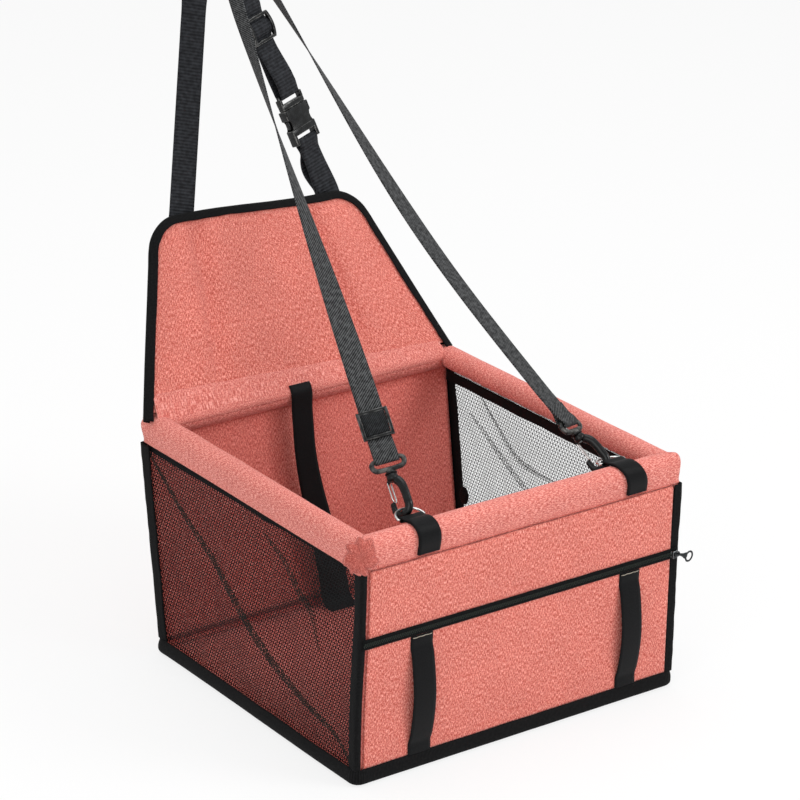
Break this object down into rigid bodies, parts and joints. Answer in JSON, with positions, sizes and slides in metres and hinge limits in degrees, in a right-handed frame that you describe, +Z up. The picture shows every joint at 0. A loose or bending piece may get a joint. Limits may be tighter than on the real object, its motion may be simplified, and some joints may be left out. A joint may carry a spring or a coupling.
{
  "type": "dog car carrier",
  "caption": "Open fabric box with mesh sides, tubed rim, folding backrest, zip pocket and clip-on straps that hang it from a car seat headrest.",
  "frame": {"origin": "on the underside, below the middle of the rim's square", "axes": "+X along the pocket front to the right, +Y from the pocket front to the backrest, +Z up"},
  "size_m": [0.4227, 0.6364, 0.7831],
  "materials": {
    "coral_cloth": "linen-look mélange weave over board or foam, coral",
    "black_binding": "woven binding tape, black",
    "black_net": "open polyester net, black",
    "grey_webbing": "twill webbing, dark grey",
    "black_webbing": "ribbed webbing, black",
    "black_plastic": "moulded acetal, black, slight gloss",
    "bright_wire": "plated steel wire",
    "grey_tube": "extruded pipe, pale grey"
  },
  "bodies": {
    "tub": {"back_wall": "coral_cloth", "belt_loop_left": "black_binding", "belt_loop_right": "black_binding", "corner_binding_front_left": "black_binding", "corner_binding_front_right": "black_binding", "corner_binding_rear_left": "black_binding", "corner_binding_rear_right": "black_binding", "floor_panel": "coral_cloth", "foot_binding": "black_binding", "front_wall": "coral_cloth", "mesh_binding_left": "black_binding", "mesh_binding_right": "black_binding", "mesh_left": "black_net", "mesh_right": "black_net", "pocket_panel": "coral_cloth", "rim_elbow_front_left": "grey_tube", "rim_elbow_front_right": "grey_tube", "rim_elbow_rear_left": "grey_tube", "rim_elbow_rear_right": "grey_tube", "rim_sleeve_front": "coral_cloth", "rim_sleeve_left": "coral_cloth", "rim_sleeve_rear": "coral_cloth", "rim_sleeve_right": "coral_cloth", "rim_tube_front": "grey_tube", "rim_tube_left": "grey_tube", "rim_tube_rear": "grey_tube", "rim_tube_right": "grey_tube", "ring_tab_left": "black_webbing", "ring_tab_right": "black_webbing", "tether_strap": "black_webbing", "upper_front_panel": "coral_cloth", "zip_tape": "black_binding"},
    "front_loop": {"d_ring_left": "bright_wire", "d_ring_right": "bright_wire", "hook_eye_left": "black_plastic", "hook_eye_right": "black_plastic", "front_strap": "grey_webbing"},
    "backrest": {"backrest_panel": "coral_cloth", "backrest_binding": "black_binding", "rear_strap": "black_webbing", "rear_strap_lower": "black_webbing", "buckle_socket": "black_plastic"},
    "zip_slider": {"zip_slider": "black_plastic"},
    "zip_pull": {"zip_pull": "bright_wire"},
    "front_adjuster": {"front_adjuster": "black_plastic"},
    "hook_left": {"hook_left": "black_plastic"},
    "hook_right": {"hook_right": "black_plastic"},
    "hook_gate_left": {"hook_gate_left": "bright_wire"},
    "hook_gate_right": {"hook_gate_right": "bright_wire"},
    "buckle_plug": {"buckle_plug": "black_plastic"},
    "buckle_arm_left": {"buckle_arm_left": "black_plastic"},
    "buckle_arm_right": {"buckle_arm_right": "black_plastic"},
    "rear_slider": {"rear_slider": "black_plastic"}
  },
  "joints": [
    {"name": "front_strap_swing", "type": "hinge", "parent": "tub", "child": "front_loop", "pos_m": [0, -0.175, 0.26], "axis": [1, 0, 0], "range_deg": [0, 95], "deforming": ["front_strap"]},
    {"name": "front_adjuster_slide", "type": "slide", "parent": "front_loop", "child": "front_adjuster", "axis": [-0.4365, -0.564, 0.7009], "range_m": [-0.01, 0.12]},
    {"name": "hook_left_swivel", "type": "hinge", "parent": "front_loop", "child": "hook_left", "pos_m": [-0.11904, -0.13474, 0.28711], "axis": [0.1539, 0.7208, 0.6758], "range_deg": [-6, 8]},
    {"name": "hook_gate_left_open", "type": "hinge", "parent": "hook_left", "child": "hook_gate_left", "pos_m": [-0.12231, -0.134, 0.2804], "axis": [-0.8897, -0.1964, 0.4121], "range_deg": [0, 20], "stiffness_Nm_per_rad": 0.02, "springref_deg": -28.65},
    {"name": "hook_right_swivel", "type": "hinge", "parent": "front_loop", "child": "hook_right", "pos_m": [0.11815, -0.13594, 0.28159], "axis": [-0.1789, 0.7147, 0.6762], "range_deg": [-6, 8]},
    {"name": "hook_gate_right_open", "type": "hinge", "parent": "hook_right", "child": "hook_gate_right", "pos_m": [0.1155, -0.13627, 0.27458], "axis": [-0.7981, -0.5073, 0.325], "range_deg": [0, 20], "stiffness_Nm_per_rad": 0.02, "springref_deg": -28.65},
    {"name": "backrest_fold", "type": "hinge", "parent": "tub", "child": "backrest", "pos_m": [0, 0.189, 0.2665], "axis": [1, 0, 0], "range_deg": [0, 105], "deforming": ["rear_strap", "rear_strap_lower"]},
    {"name": "rear_slider_slide", "type": "slide", "parent": "backrest", "child": "rear_slider", "axis": [-0.3313, -0.916, 0.2263], "range_m": [-0.03, 0.06]},
    {"name": "buckle_pull", "type": "slide", "parent": "backrest", "child": "buckle_plug", "axis": [-0.2481, 0.316, 0.9157], "range_m": [0, 0.03], "deforming": ["buckle_arm_left", "buckle_arm_right"]},
    {"name": "buckle_arm_left_squeeze", "type": "hinge", "parent": "buckle_plug", "child": "buckle_arm_left", "pos_m": [0.08489, 0.32109, 0.52396], "axis": [0.3313, 0.916, -0.2263], "range_deg": [0, 10], "stiffness_Nm_per_rad": 0.3, "springref_deg": -5.73},
    {"name": "buckle_arm_right_squeeze", "type": "hinge", "parent": "buckle_plug", "child": "buckle_arm_right", "pos_m": [0.06399, 0.32677, 0.51634], "axis": [-0.3313, -0.916, 0.2263], "range_deg": [0, 10], "stiffness_Nm_per_rad": 0.3, "springref_deg": -5.73},
    {"name": "zip_slide", "type": "slide", "parent": "tub", "child": "zip_slider", "axis": [1, 0, 0], "range_m": [-0.38, 0]},
    {"name": "zip_pull_swing", "type": "hinge", "parent": "zip_slider", "child": "zip_pull", "pos_m": [0.19575, -0.2079, 0.151], "axis": [0, 0, -1], "range_deg": [0, 180]}
  ]
}
